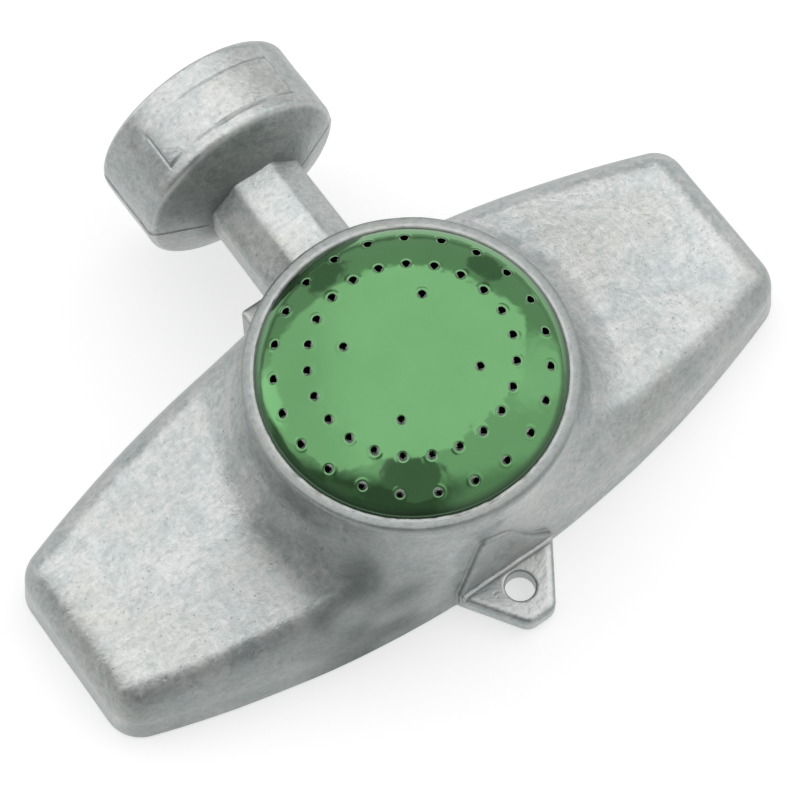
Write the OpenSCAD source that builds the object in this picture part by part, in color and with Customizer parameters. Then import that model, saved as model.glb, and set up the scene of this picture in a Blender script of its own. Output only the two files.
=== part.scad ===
// Stationary spot sprinkler.
// A die-cast base with two hollow wings, a round water chamber in the middle, an eight-sided
// neck with a hose bell, and an eyelet tab.  A perforated dome is held in the collar by a lip
// that is rolled over its flange, on a flat ring gasket.  A hose washer sits in the bell.
// +X runs along the wings, +Y points at the hose inlet, +Z is up.  The origin is in the plane
// that the base stands on, under the centre of the dome.

/* [Base] */
// Half of the wing span
half_span = 66.1; // [62:0.1:72]
// Half of the width of the base at its middle
half_width = 28; // [27.8:0.1:29]
// How far the base is set towards the inlet from the dome axis
base_set = 1.8; // [1.4:0.1:2]
// How much narrower each side is 60 mm out along a wing
side_fall = 10.1; // [8:0.1:12]
// Radius of the four corners, seen from above
corner_r = 6.5; // [4:0.5:8]
// Height of the wings near their ends
wing_h = 12.5; // [11:0.5:15]
// Extra height of the wings next to the collar
wing_rise = 8; // [4:0.5:10]
// Height at which the side walls begin to roll over
wall_h = 5.5; // [4:0.5:7]
// How far in the rolled shoulder reaches
shoulder = 5.5; // [5:0.5:8]
// Thickness of the cast walls
wall = 2.2; // [1.8:0.1:2.8]

/* [Collar and chamber] */
// Outer radius of the collar below the lip
collar_r = 25.4; // [25.2:0.1:25.7]
// Reach of the hollow curve that joins the wings to the collar
flare = 10; // [6:0.5:14]
// Height of the plane of the rim
rim_z = 34.1; // [33:0.1:35]
// Outer radius of the rolled lip
lip_r = 26.45; // [26.4:0.05:26.8]
// Inner radius of the water chamber
chamber_r = 22.9; // [22:0.1:23]
// Height of the upper face of the chamber floor
chamber_floor = 9; // [7:0.5:11]

/* [Spray dome] */
// Radius of the dome where it comes out of the lip
dome_r = 24.6; // [24.4:0.1:24.7]
// Height of the dome above the plane of the rim
dome_rise = 7.2; // [6:0.1:9]
// Thickness of the dome sheet
dome_t = 0.8; // [0.6:0.1:1]
// Diameter of one spray hole
spray_d = 1.4; // [1:0.1:1.8]
// Spray holes in each of the two rings
ring_holes = 23; // [12:1:23]
// Spray holes round the centre
centre_holes = 4; // [3:1:6]
// Radius of the outer ring of holes
ring_outer = 21.4; // [20.5:0.1:22]
// Radius of the inner ring of holes
ring_inner = 16.1; // [15:0.1:17]
// Radius of the circle of centre holes
ring_centre = 10.6; // [8:0.1:12]
// Direction of the first hole of the outer ring and of the centre
hole_phase = 135.7; // [0:0.1:359]

/* [Hose inlet] */
// Height of the inlet axis
inlet_z = 24.1; // [23:0.1:25]
// Outer radius of the bell
bell_r = 17.8; // [17:0.05:18.2]
// Where the bell ends, measured from the dome axis
bell_end = 61.1; // [60:0.1:64]
// Length of the straight part of the bell
bell_len = 14.2; // [14:0.1:16]
// Size of the neck across its flats
neck_flats = 16.7; // [15:0.1:17.4]
// Radius of the waterway in the neck
waterway_r = 5.5; // [4:0.1:6.5]
// Minor radius of the 3/4 inch garden hose thread
thread_minor = 12.45; // [12.3:0.05:12.5]
// Major radius of the thread
thread_major = 13.6; // [13.5:0.05:13.7]
// Pitch of the thread, 11.5 turns an inch
thread_pitch = 2.209; // [2.2:0.001:2.22]

/* [Eyelet tab] */
// How far the tab reaches from the dome axis
tab_reach = 36.4; // [35:0.1:38]
// Width of the tab where it leaves the base
tab_root = 18.6; // [17:0.1:20]
// Width of the tab at its tip
tab_tip = 7.6; // [7:0.1:9]
// Thickness of the tab
tab_t = 4; // [3:0.5:5]
// Diameter of the eyelet hole
eyelet_d = 5; // [4:0.1:5.4]
// Distance of the eyelet hole from the dome axis
eyelet_y = 30.1; // [29.8:0.1:30.6]

/* [Hidden] */
$fn = 96;

// Zinc, green lacquer and rubber
ZINC = [0.66, 0.68, 0.68];
GREEN = [0.15, 0.46, 0.22];
RUBBER = [0.10, 0.10, 0.10];

// Dome seat: a counterbore that holds the gasket and the flange under the lip
seat_r = lip_r - 1.1;
seat_z = rim_z - 2.4;
gasket_t = 1.2;
flange_r = seat_r - 0.1;
lip_in = dome_r + 0.05;
lip_z = rim_z - 0.4;

// Bell: from the back edge of the straight part to the mouth
bell_back = bell_end - bell_len;
neck_join = bell_back - 3.9;
washer_t = 3;
washer_seat = bell_end - 13.4;

// ---- plan outline of the base -------------------------------------------------------------

// Half width of the base at x
function side(x) = half_width - side_fall * pow(x / 60, 2);
// Where the corner arc meets the end, and its centre
cx = half_span - corner_r;
slope = atan(2 * side_fall * cx / 3600);
cy = side(cx) - corner_r / cos(slope);
// One quarter of the outline, from the +X axis round to the +Y axis
quarter = concat(
    [for (i = [0 : 2]) [half_span, cy * i / 3]],
    [for (i = [0 : 7]) let (a = (90 - slope) * i / 7) [cx + corner_r * cos(a), cy + corner_r * sin(a)]],
    [for (i = [1 : 14]) let (x = (cx + corner_r * sin(slope)) * (1 - i / 14)) [x, side(x)]]
);
nq = len(quarter) - 1;
loop = concat(
    quarter,
    [for (i = [1 : nq]) [-quarter[nq - i][0], quarter[nq - i][1]]],
    [for (i = [1 : nq]) [-quarter[i][0], -quarter[i][1]]],
    [for (i = [1 : nq - 1]) [quarter[nq - i][0], -quarter[nq - i][1]]]
);
outline = [for (p = loop) [p[0], p[1] + base_set]];
no = len(outline);

// ---- height of the cast skin --------------------------------------------------------------

function clamp(v, lo, hi) = v < lo ? lo : v > hi ? hi : v;
// Top of the wing at radius r, with the hollow curve that climbs to the collar
function top_z(r, drop) =
    let (w = wing_h + wing_rise * pow(clamp(1 - (r - collar_r) / (half_span - collar_r), 0, 1), 1.5),
         u = clamp(1 - (r - collar_r) / flare, 0, 1))
    w - drop + (rim_z - 2.4 - w) * (1 - sqrt(1 - u * u));
// Height of the skin at a distance d in from the outline
function skin_z(d, r, drop) =
    let (wz = wall_h - drop, u = clamp((d - 0.6) / shoulder, 0, 1))
    d < 0.6 ? wz * d / 0.6 : wz + (top_z(r, drop) - wz) * sqrt(1 - pow(1 - u, 2));
// Distances in from the outline at which the skin has a ring of points
rings = [0, 0.6, 0.9, 1.6, 2.7, 4.2, 6.1, 8.6];
nr = 14;

// Closed solid under the skin.  inset moves the walls in and drop lowers the top.
module skin(inset, drop) {
    rc = collar_r - 0.3;
    pts = [
        for (k = [0 : nr]) for (p = outline)
            let (ro = norm(p) - inset, t = max(ro - rc, 0.2), s = min(1, t / 12),
                 d = k < 8 ? rings[k] * s : 8.6 * s + (t - 8.6 * s) * pow((k - 7) / (nr - 7), 0.8),
                 r = ro - d)
            [p[0] / norm(p) * r, p[1] / norm(p) * r, k == 0 ? 0 : skin_z(d, r, drop)],
        [0, 0, 0],
        [0, 0, 12]
    ];
    n = no;
    polyhedron(
        points = pts,
        faces = concat(
            [for (k = [0 : nr - 1]) for (i = [0 : n - 1]) [k * n + i, (k + 1) * n + i, k * n + (i + 1) % n]],
            [for (k = [0 : nr - 1]) for (i = [0 : n - 1]) [k * n + (i + 1) % n, (k + 1) * n + i, (k + 1) * n + (i + 1) % n]],
            [for (i = [0 : n - 1]) [i, (i + 1) % n, len(pts) - 2]],
            [for (i = [0 : n - 1]) [nr * n + (i + 1) % n, nr * n + i, len(pts) - 1]]
        )
    );
}

// ---- body casting -------------------------------------------------------------------------

// Turns something drawn about +Z so that it lies on the inlet axis and points along +Y
module on_inlet() {
    translate([0, 0, inlet_z]) rotate([-90, 0, 0]) children();
}

// Lip: the top of the collar, rolled in over the flange of the dome
module lip() {
    rotate_extrude() polygon([
        [chamber_r - 0.1, seat_z - 3], [collar_r, seat_z - 3], [collar_r, seat_z + 0.6],
        [lip_r - 0.4, seat_z + 1], [lip_r - 0.1, seat_z + 1.4], [lip_r, rim_z - 0.1], [lip_r - 0.1, rim_z + 0.4],
        [lip_r - 0.5, rim_z + 0.8], [lip_r - 1, rim_z + 0.85], [lip_in + 0.2, rim_z + 0.5], [lip_in, rim_z + 0.2],
        [lip_in, lip_z], [seat_r, lip_z], [seat_r, seat_z], [chamber_r - 0.1, seat_z]
    ]);
}

// Tab with its eyelet hole left solid
module tab() {
    translate([0, 0, 0.2]) linear_extrude(tab_t - 0.2) polygon(concat(
        [[tab_root / 2, -24], [-tab_root / 2, -24], [-tab_root / 2, -26.4]],
        [for (i = [0 : 5]) let (a = 215 + 55 * i / 5) [-tab_tip / 2 + 2.6 + 2.6 * cos(a), -tab_reach + 2.6 + 2.6 * sin(a)]],
        [for (i = [0 : 5]) let (a = 270 + 55 * i / 5) [tab_tip / 2 - 2.6 + 2.6 * cos(a), -tab_reach + 2.6 + 2.6 * sin(a)]],
        [[tab_root / 2, -26.4]]
    ));
}

// Flat pads on the two long sides, at the foot of the collar
module pads() {
    // eyelet side: a ledge over the tab and a flat that leans back to the collar
    translate([-9.2, -27.1, 2]) cube([18.4, 3.2, 3.3]);
    translate([0, -26.6, 4.4]) rotate([83, 0, 0]) translate([0, 0, -5]) linear_extrude(5)
        polygon([[-9.2, -2], [9.2, -2], [9.2, 0], [3.9, 10.2], [-3.9, 10.2], [-9.2, 0]]);
    // inlet side, where the neck leaves the collar
    translate([-12, 18, 0]) cube([24, 13, 16.2]);
}

module body_casting() color(ZINC) {
    difference() {
        union() {
            skin(0, 0);
            cylinder(r = collar_r, h = seat_z - 2);
            lip();
            tab();
            pads();
            // neck, with a flat on top
            on_inlet() translate([0, 0, 20]) rotate([0, 0, 22.5])
                cylinder(d = neck_flats / cos(22.5), h = neck_join - 20 + 1, $fn = 8);
            // bell, with a sloping back
            on_inlet() rotate_extrude() polygon([
                [0, neck_join], [neck_flats / 2 + 0.4, neck_join], [bell_r - 0.9, bell_back - 0.3],
                [bell_r - 0.2, bell_back + 0.2], [bell_r, bell_back + 1], [bell_r, bell_end - 0.6],
                [bell_r - 0.6, bell_end], [0, bell_end]
            ]);
        }
        // hollow wings, open underneath
        difference() {
            translate([0, 0, -0.01]) skin(wall, wall);
            translate([0, 0, -1]) cylinder(r = collar_r - 0.1, h = 40);
            translate([-12 - wall, 16, -1]) cube([24 + 2 * wall, 22, 40]);
            translate([-9.2, -38, -1]) cube([18.4, 20, 40]);
        }
        // recess under the chamber floor
        translate([0, 0, -1]) cylinder(r = chamber_r, h = chamber_floor - 2.4 + 1);
        // water chamber
        translate([0, 0, chamber_floor]) cylinder(r = chamber_r, h = seat_z - chamber_floor + 1);
        translate([0, 0, seat_z]) cylinder(r = chamber_r + 0.1, h = 20);
        // waterway through the neck
        on_inlet() translate([0, 0, 15]) cylinder(r = waterway_r, h = washer_seat - 15 + 1);
        // pocket for the washer
        on_inlet() translate([0, 0, washer_seat]) cylinder(r = 12.9, h = washer_t + 0.2);
        // threaded bore: the crests stand at the minor radius
        on_inlet() translate([0, 0, washer_seat + 1]) cylinder(r = thread_minor, h = 20);
        for (i = [0 : 3]) on_inlet() rotate_extrude() polygon([
            [thread_minor - 1, washer_seat + 3.5 + i * thread_pitch],
            [thread_minor, washer_seat + 3.5 + i * thread_pitch],
            [thread_major, washer_seat + 4.15 + i * thread_pitch],
            [thread_major, washer_seat + 4.35 + i * thread_pitch],
            [thread_minor, washer_seat + 5 + i * thread_pitch],
            [thread_minor - 1, washer_seat + 5 + i * thread_pitch]
        ]);
        // lead-in at the mouth
        on_inlet() translate([0, 0, bell_end - 0.9]) cylinder(r1 = thread_minor, r2 = thread_minor + 1.4, h = 1.4);
        // eyelet hole
        translate([0, -eyelet_y, -1]) cylinder(d = eyelet_d, h = tab_t + 2);
    }
}

// ---- spray dome ---------------------------------------------------------------------------

// Height of the outer face of the dome above the rim plane at radius r
function dome_z(r) = dome_rise * sqrt(max(0, 1 - pow(r / dome_r, 2.2)));
// Slope of the dome at radius r, in degrees from level
function dome_lean(r) = atan((dome_z(r - 0.2) - dome_z(r + 0.2)) / 0.4);
// Radii of the points of the dome section
dome_rr = [0, 3.5, 7, 10, 12.6, 14.9, 16.9, 18.6, 20.1, 21.4, 22.4, 23.2, 23.8, 24.25, 24.5];

module spray_dome() color(GREEN) {
    difference() {
        rotate_extrude() polygon(concat(
            [for (r = dome_rr) [r, rim_z + dome_z(r)]],
            [[dome_r, rim_z], [dome_r, lip_z - 0.1], [flange_r, lip_z - 0.15], [flange_r, seat_z + gasket_t],
             [dome_r - dome_t - 0.2, seat_z + gasket_t], [dome_r - dome_t, rim_z - 0.6]],
            [for (i = [len(dome_rr) - 1 : -1 : 0]) let (r = dome_rr[i], a = dome_lean(max(r, 0.3)))
                [max(0, r - dome_t * sin(a)), rim_z + dome_z(r) - dome_t * cos(a)]]
        ));
        // two rings of spray holes, square to the sheet, and a few round the centre
        for (i = [0 : ring_holes - 1]) spray_hole(ring_outer, hole_phase + 360 * i / ring_holes);
        for (i = [0 : ring_holes - 1]) spray_hole(ring_inner, hole_phase + 360 * (i + 1) / ring_holes);
        for (i = [0 : centre_holes - 1]) spray_hole(ring_centre, hole_phase + 360 * i / centre_holes);
    }
}

module spray_hole(r, a) {
    rotate([0, 0, a]) translate([r, 0, rim_z + dome_z(r)]) rotate([0, dome_lean(r), 0])
        translate([0, 0, -2]) cylinder(d = spray_d, h = 3, $fn = 24);
}

// ---- seals --------------------------------------------------------------------------------

module dome_gasket() color(RUBBER) {
    translate([0, 0, seat_z]) difference() {
        cylinder(r = seat_r - 0.1, h = gasket_t);
        translate([0, 0, -1]) cylinder(r = chamber_r + 0.2, h = gasket_t + 2);
    }
}

module hose_washer() color(RUBBER) {
    on_inlet() translate([0, 0, washer_seat]) difference() {
        cylinder(r = 12.7, h = washer_t);
        translate([0, 0, -1]) cylinder(r = 7.9, h = washer_t + 2);
    }
}

body_casting();
spray_dome();
dome_gasket();
hose_washer();
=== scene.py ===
import math

import bpy
import numpy as np
from mathutils import Matrix, Vector
from mathutils.geometry import delaunay_2d_cdt


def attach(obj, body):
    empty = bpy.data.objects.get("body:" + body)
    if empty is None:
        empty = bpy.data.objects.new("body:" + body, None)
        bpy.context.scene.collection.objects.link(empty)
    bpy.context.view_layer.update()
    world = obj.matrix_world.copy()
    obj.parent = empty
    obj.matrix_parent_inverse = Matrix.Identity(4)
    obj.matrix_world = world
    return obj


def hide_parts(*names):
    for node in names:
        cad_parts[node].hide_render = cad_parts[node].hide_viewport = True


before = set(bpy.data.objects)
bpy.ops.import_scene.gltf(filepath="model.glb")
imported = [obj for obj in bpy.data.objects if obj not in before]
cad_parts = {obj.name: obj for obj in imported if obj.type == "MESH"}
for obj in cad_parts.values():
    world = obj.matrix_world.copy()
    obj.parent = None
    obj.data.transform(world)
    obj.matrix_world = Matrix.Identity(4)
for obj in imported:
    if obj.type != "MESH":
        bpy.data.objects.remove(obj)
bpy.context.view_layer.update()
MM = 0.001

# =============================================================================================
# Small maths.  Lengths are in millimetres until a mesh is made.  Fields are positive inside.
# =============================================================================================


def union(a, b, k):
    h = np.maximum(k - np.abs(a - b), 0) / k
    return np.maximum(a, b) + h * h * k * 0.25


def cut(a, b, k):
    h = np.maximum(k - np.abs(a - b), 0) / k
    return np.minimum(a, b) - h * h * k * 0.25


def smooth(a, b, v):
    t = np.clip((v - a) / (b - a), 0, 1)
    return t * t * (3 - 2 * t)


def block(x, y, z, c, h, r):
    q = [np.abs(p - c[i]) - (h[i] - r) for i, p in enumerate((x, y, z))]
    out = np.sqrt(sum(np.maximum(v, 0) ** 2 for v in q))
    return r - (out + np.minimum(np.maximum(np.maximum(q[0], q[1]), q[2]), 0))


_lattice = np.random.RandomState(11).rand(32, 32, 32)


def lumps(x, y, z, size, seed=0):
    """Soft random lumps about one size across, from -1 to 1, the same every time."""
    p = [np.asarray(v, float) / size + 7.31 * (i + 1) + 3.7 * seed for i, v in enumerate((x, y, z))]
    i = [np.floor(v).astype(int) for v in p]
    f = [v - w for v, w in zip(p, i)]
    f = [v * v * (3 - 2 * v) for v in f]
    total = 0
    for a in (0, 1):
        for b in (0, 1):
            for c in (0, 1):
                w = (f[0] if a else 1 - f[0]) * (f[1] if b else 1 - f[1]) * (f[2] if c else 1 - f[2])
                total = total + w * _lattice[(i[0] + a) % 32, (i[1] + b) % 32, (i[2] + c) % 32]
    return total * 2 - 1


# =============================================================================================
# The casting as a field: wings, collar, neck, boss, tab, leaning flat, and the hollows inside
# =============================================================================================

HALF_SPAN, HALF_WIDTH, BASE_SET, SIDE_FALL, CORNER = 66.1, 28.0, 1.8, 10.1, 6.5
WING_H, WING_RISE, WALL_H, SHOULDER, WALL = 12.5, 8.0, 5.5, 5.5, 2.2
COLLAR, FLARE, RIM_Z, LIP_R, CHAMBER, FLOOR_Z = 25.4, 10.0, 34.1, 26.45, 22.9, 9.0
INLET_Z, WATERWAY = 24.1, 5.5
CX = HALF_SPAN - CORNER
SLOPE = math.atan(2 * SIDE_FALL * CX / 3600)
CY = HALF_WIDTH - SIDE_FALL * (CX / 60) ** 2 - CORNER / math.cos(SLOPE)


def plan(x, y):
    """How far inside the outline of the base a point is, seen from above."""
    X, Y = np.abs(x), np.abs(y - BASE_SET)
    xs = np.minimum(X, 61.0)
    sl = 2 * SIDE_FALL * xs / 3600
    b = (HALF_WIDTH - SIDE_FALL * (xs / 60) ** 2 - sl * (X - xs) - Y) / np.sqrt(1 + sl * sl)
    d = np.minimum(HALF_SPAN - X, b)
    dx, dy = X - CX, Y - CY
    corner = (dy > 0) & (dx * math.cos(SLOPE) - dy * math.sin(SLOPE) > 0)
    return np.where(corner, CORNER - np.hypot(dx, dy), d)


def top_z(r):
    w = WING_H + WING_RISE * np.clip(1 - (r - COLLAR) / (HALF_SPAN - COLLAR), 0, 1) ** 1.5
    u = np.clip(1 - (r - COLLAR) / FLARE, 0, 1)
    return w + (RIM_Z - 2.4 - w) * (1 - np.sqrt(1 - u * u))


def skin(x, y, z, inset, drop):
    r = np.hypot(x, y)
    d = plan(x, y) - inset
    t = top_z(r) - drop
    s = (top_z(r + 0.05) - top_z(r - 0.05)) / 0.1
    high = (t - z) / np.sqrt(1 + s * s)
    wz = WALL_H - drop
    h = np.maximum(t - wz, 1)
    u = (d - 0.6) / SHOULDER
    v = (z - wz) / h
    a, b = np.maximum(1 - u, 0), np.maximum(v, 0)
    q = np.sqrt(a * a + b * b)
    roll = (1 - q) * (q + 1e-6) / np.sqrt((a / SHOULDER) ** 2 + (b / h) ** 2 * (1 + (b * s) ** 2) + 1e-14)
    side = d - 0.6 * np.clip(z / WALL_H, 0, 1)
    return np.where(z < wz, side, np.where(u < 1, roll, high))


def tab_plan(x, y):
    X = np.abs(x)
    n = np.array([0.83, -0.5578])
    a = -(n[0] * (X - 9.3) + n[1] * (y + 26.4))
    b = y + 36.4
    d = np.minimum(np.minimum(a, b), 9.3 - X)
    dx, dy = X - 1.2, y + 33.8
    tip = (dx > 0) & (dx * (-n[1]) + dy * n[0] < 0)
    return np.where(tip & (b < 4), 2.6 - np.hypot(dx, dy), d)


LEAN = math.radians(88.6)


def flat_field(x, y, z):
    """Flat on the foot of the collar over the tab: how far inside its outline and how far out of its plane."""
    up = (y + 26.55) * math.cos(LEAN) + (z - 4.4) * math.sin(LEAN)
    out = -(y + 26.55) * math.sin(LEAN) + (z - 4.4) * math.cos(LEAN)
    left = ((x + 9.3) * 17.2 - up * 4.4) / 17.75
    top = (17.4 - 0.392 * (x + 4.8) - up) / 1.074
    right = np.maximum((15.4 - 1.896 * (x - 0.3) - up) / 2.143, (6.3 - 1.38 * (x - 5.1) - up) / 1.704)
    return np.minimum(cut(cut(left, top, 1.4), right, 1.0), 9.2 - np.abs(x)), up, out


def casting(x, y, z):
    r = np.hypot(x, y)
    zz = z - INLET_Z
    f = skin(x, y, z, 0, 0)
    f = union(f, np.minimum(COLLAR - r, 31.9 - z), 2.0)
    f = cut(f, z, 0.7)
    # inlet boss
    f = union(f, block(x, y, z, (0, 24.5, 8.1), (12, 6.5, 8.1), 0.9), 0.8)
    # eight-sided neck
    a, b = np.abs(x), np.abs(zz)
    q = 8.35 - 0.05 * lumps(x, y, z, 7, 3)
    neck = cut(cut(q - a, q - b, 0.7), q - (a + b) * 0.70711, 0.7)
    neck = np.minimum(np.minimum(neck, 45.0 - y), y - 17)
    f = union(f, neck, 1.3)
    # tab, ledge and leaning flat
    tab = cut(tab_plan(x, y), 4.0 - z, 1.5)
    tab = cut(np.minimum(tab, -20 - y), z - 0.2, 0.6)
    f = union(f, tab, 0.5)
    inside, up, out = flat_field(x, y, z)
    flat = cut(np.minimum(inside, up + 1.5), -out, 0.4)
    f = union(f, np.minimum(flat, out + 6), 0.3)
    dent = 1.0 - np.sqrt(((x + 0.9) / 1.6) ** 2 + ((up - 9.0) / 3.4) ** 2 + (out / 0.6) ** 2)
    f = cut(f, -dent * 0.6, 0.4)
    # eyelet hole
    f = cut(f, np.hypot(x, y + 30.1) - 2.5 + 8 * (y > -26) , 0.6)
    # hollow wings, open underneath
    h = skin(x, y, z, WALL, WALL)
    h = cut(h, r - COLLAR - 2.2, 1.6)
    h = cut(h, -block(x, y, z, (0, 27, 19), (14.2, 11, 20), 1.0), 1.2)
    h = cut(h, -block(x, y, z, (0, -28, 19), (9.2, 10, 20), 1.0), 1.2)
    f = cut(f, -h, 0.5)
    # recess under the floor, water chamber and waterway
    f = cut(f, -cut(CHAMBER - r, FLOOR_Z - 2.4 - z, 1.0), 0.5)
    f = cut(f, -cut(CHAMBER - r, z - FLOOR_Z, 1.0), 0.5)
    f = np.minimum(f, -np.minimum(WATERWAY - np.hypot(x, zz), y - 15))
    return f


def field(x, y, z):
    """The casting with the small unevenness of a cast skin."""
    wave = 0.055 * lumps(x, y, z, 13, 1) + 0.03 * lumps(x, y, z, 5, 2)
    return casting(x, y, z) + wave


def gradient(fn, p, e):
    x, y, z = p[:, 0], p[:, 1], p[:, 2]
    return np.stack([
        fn(x + e, y, z) - fn(x - e, y, z),
        fn(x, y + e, z) - fn(x, y - e, z),
        fn(x, y, z + e) - fn(x, y, z - e),
    ], 1) / (2 * e)


def nets(fn, lo, hi, step):
    """A quad mesh on the zero of fn, by surface nets, with each vertex moved onto the surface."""
    ax = [np.arange(lo[i], hi[i] + step, step) for i in range(3)]
    X, Y, Z = np.meshgrid(*ax, indexing="ij")
    F = fn(X, Y, Z).astype(np.float32)
    S = F > 0
    n = S.shape
    corners = [(i, j, k) for i in (0, 1) for j in (0, 1) for k in (0, 1)]
    part = lambda A, c: A[c[0]:n[0] - 1 + c[0], c[1]:n[1] - 1 + c[1], c[2]:n[2] - 1 + c[2]]
    inside = sum(part(S, c).astype(np.int8) for c in corners)
    cell = np.argwhere((inside > 0) & (inside < 8))
    index = np.full((n[0] - 1, n[1] - 1, n[2] - 1), -1, np.int32)
    index[cell[:, 0], cell[:, 1], cell[:, 2]] = np.arange(len(cell))
    val = {c: F[cell[:, 0] + c[0], cell[:, 1] + c[1], cell[:, 2] + c[2]] for c in corners}
    total, count = np.zeros((len(cell), 3)), np.zeros(len(cell))
    for c in corners:
        for axis in range(3):
            if c[axis]:
                continue
            e = list(c)
            e[axis] = 1
            a, b = val[c], val[tuple(e)]
            hit = (a > 0) != (b > 0)
            t = np.where(hit, a / np.where(hit, a - b, 1), 0)
            p = np.tile(np.array(c, float), (len(cell), 1))
            p[:, axis] = t
            total[hit] += p[hit]
            count[hit] += 1
    V = (cell + total / count[:, None]) * step + np.array(lo)
    quads = []
    for axis in range(3):
        u, w = (axis + 1) % 3, (axis + 2) % 3
        a = [slice(None)] * 3
        b = [slice(None)] * 3
        a[axis], b[axis] = slice(0, -1), slice(1, None)
        change = S[tuple(a)] != S[tuple(b)]
        at = np.argwhere(change)
        at = at[(at[:, u] > 0) & (at[:, w] > 0) & (at[:, u] < n[u] - 1) & (at[:, w] < n[w] - 1)]
        first = S[at[:, 0], at[:, 1], at[:, 2]]
        ids = []
        for du, dw in ((-1, -1), (0, -1), (0, 0), (-1, 0)):
            q = at.copy()
            q[:, u] += du
            q[:, w] += dw
            ids.append(index[q[:, 0], q[:, 1], q[:, 2]])
        q = np.stack(ids, 1)
        q[~first] = q[~first][:, ::-1]
        quads.append(q)
    Q = np.concatenate(quads)
    for _ in range(3):
        f = fn(V[:, 0], V[:, 1], V[:, 2])
        g = gradient(fn, V, 0.08)
        g2 = np.maximum((g * g).sum(1), 0.05)
        move = -(f / g2)[:, None] * g
        length = np.linalg.norm(move, axis=1, keepdims=True)
        V = V + move * np.minimum(1, 0.3 * step / np.maximum(length, 1e-9))
    return V, Q


def snap(fn, V, step, rounds=3):
    for _ in range(rounds):
        f = fn(V[:, 0], V[:, 1], V[:, 2])
        g = gradient(fn, V, 0.05)
        move = -(f / np.maximum((g * g).sum(1), 0.05))[:, None] * g
        length = np.linalg.norm(move, axis=1, keepdims=True)
        V = V + move * np.minimum(1, 0.3 * step / np.maximum(length, 1e-9))
    return V


def normals_of(fn, V, e):
    g = gradient(fn, V, e)
    return -g / np.maximum(np.linalg.norm(g, axis=1, keepdims=True), 1e-9)


def refine(fn, V, faces, N, limit, step, where):
    """Cuts each quad whose normals turn by more than limit degrees in four, where asked.  Neighbours take the new
    points on the edges they share, so that the mesh stays closed."""
    four = np.array([len(f) == 4 for f in faces])
    quad = np.array([f if len(f) == 4 else [0, 0, 0, 0] for f in faces])
    c = V[quad].mean(1)
    mean = N[quad].mean(1)
    mean /= np.maximum(np.linalg.norm(mean, axis=1, keepdims=True), 1e-9)
    turn = np.degrees(np.arccos(np.clip((N[quad] * mean[:, None, :]).sum(2).min(1), -1, 1)))
    pick = four & (turn > limit) & where(c[:, 0], c[:, 1], c[:, 2])
    mids, new, count = {}, [], len(V)
    for i in np.where(pick)[0]:
        f = faces[i]
        for k in range(4):
            e = (f[k], f[(k + 1) % 4])
            e = e if e[0] < e[1] else (e[1], e[0])
            if e not in mids:
                mids[e] = count + len(new)
                new.append((V[e[0]] + V[e[1]]) / 2)
    touched = set(v for e in mids for v in e)
    out = []
    for i, f in enumerate(faces):
        if pick[i]:
            m = []
            for k in range(4):
                e = (f[k], f[(k + 1) % 4])
                m.append(mids[e if e[0] < e[1] else (e[1], e[0])])
            centre = count + len(new)
            new.append(V[f].mean(0))
            out += [[f[k], m[k], centre, m[k - 1]] for k in range(4)]
        elif any(v in touched for v in f):
            g = []
            for k in range(len(f)):
                a, b = f[k], f[(k + 1) % len(f)]
                g.append(a)
                q = mids.get((a, b) if a < b else (b, a))
                if q is not None:
                    g.append(q)
            if len(g) == len(f):
                out.append(f)
                continue
            centre = count + len(new)
            new.append(V[f].mean(0))
            out += [[g[k], g[(k + 1) % len(g)], centre] for k in range(len(g))]
        else:
            out.append(f)
    W = snap(fn, np.array(new), step)
    return np.concatenate([V, W]), out, np.concatenate([N, normals_of(fn, W, 0.1)])


def settle(fn, V, faces, N, rounds=6):
    """Evens out the few faces that came out folded."""
    quad = np.array([f if len(f) == 4 else list(f) + [f[-1]] for f in faces])
    V, N = V.copy(), N.copy()
    for _ in range(rounds):
        n = np.cross(V[quad[:, 2]] - V[quad[:, 0]], V[quad[:, 3]] - V[quad[:, 1]])
        n /= np.maximum(np.linalg.norm(n, axis=1, keepdims=True), 1e-12)
        bad = (n * N[quad].mean(1)).sum(1) < 0.35
        print("folded faces", int(bad.sum()), V[quad[bad]].mean(1)[:6].round(1).tolist())
        if not bad.any():
            break
        total, count = np.zeros_like(V), np.zeros(len(V))
        for k in range(4):
            a, b = quad[:, k], quad[:, (k + 1) % 4]
            for i, j in ((a, b), (b, a)):
                ok = i != j
                np.add.at(total, i[ok], V[j[ok]])
                np.add.at(count, i[ok], 1)
        move = np.unique(quad[bad])
        V[move] = total[move] / count[move][:, None]
        N[move] = normals_of(fn, V[move], 0.15)
    return V, N


# =============================================================================================
# Meshes
# =============================================================================================


def make(name, V, F, mats, normals=None, attrs=None, face_mat=None):
    """V in millimetres.  F is a list of faces, or an array of them."""
    me = bpy.data.meshes.new(name)
    faces = F.tolist() if isinstance(F, np.ndarray) else F
    me.from_pydata((np.asarray(V) * MM).tolist(), [], faces)
    for m in mats:
        me.materials.append(m)
    if face_mat is not None:
        me.polygons.foreach_set("material_index", np.asarray(face_mat, np.int32))
    me.polygons.foreach_set("use_smooth", np.ones(len(me.polygons), bool))
    attrs = dict(attrs or {})
    # painted shade: a 'side' weight from the normals, which darkens steep walls in the cast zinc, less on faces turned
    # downward
    if normals is not None and "side" not in attrs:
        nz = np.asarray(normals)[:, 2]
        attrs["side"] = smooth(0.96, 0.55, nz) * (0.55 + 0.45 * smooth(-0.1, 0.4, nz))
    for k, v in attrs.items():
        a = me.attributes.new(k, "FLOAT", "POINT")
        a.data.foreach_set("value", np.asarray(v, np.float32))
    me.update()
    if normals is not None:
        me.normals_split_custom_set_from_vertices(np.asarray(normals).tolist())
    o = bpy.data.objects.new(name, me)
    bpy.context.scene.collection.objects.link(o)
    return o


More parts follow.
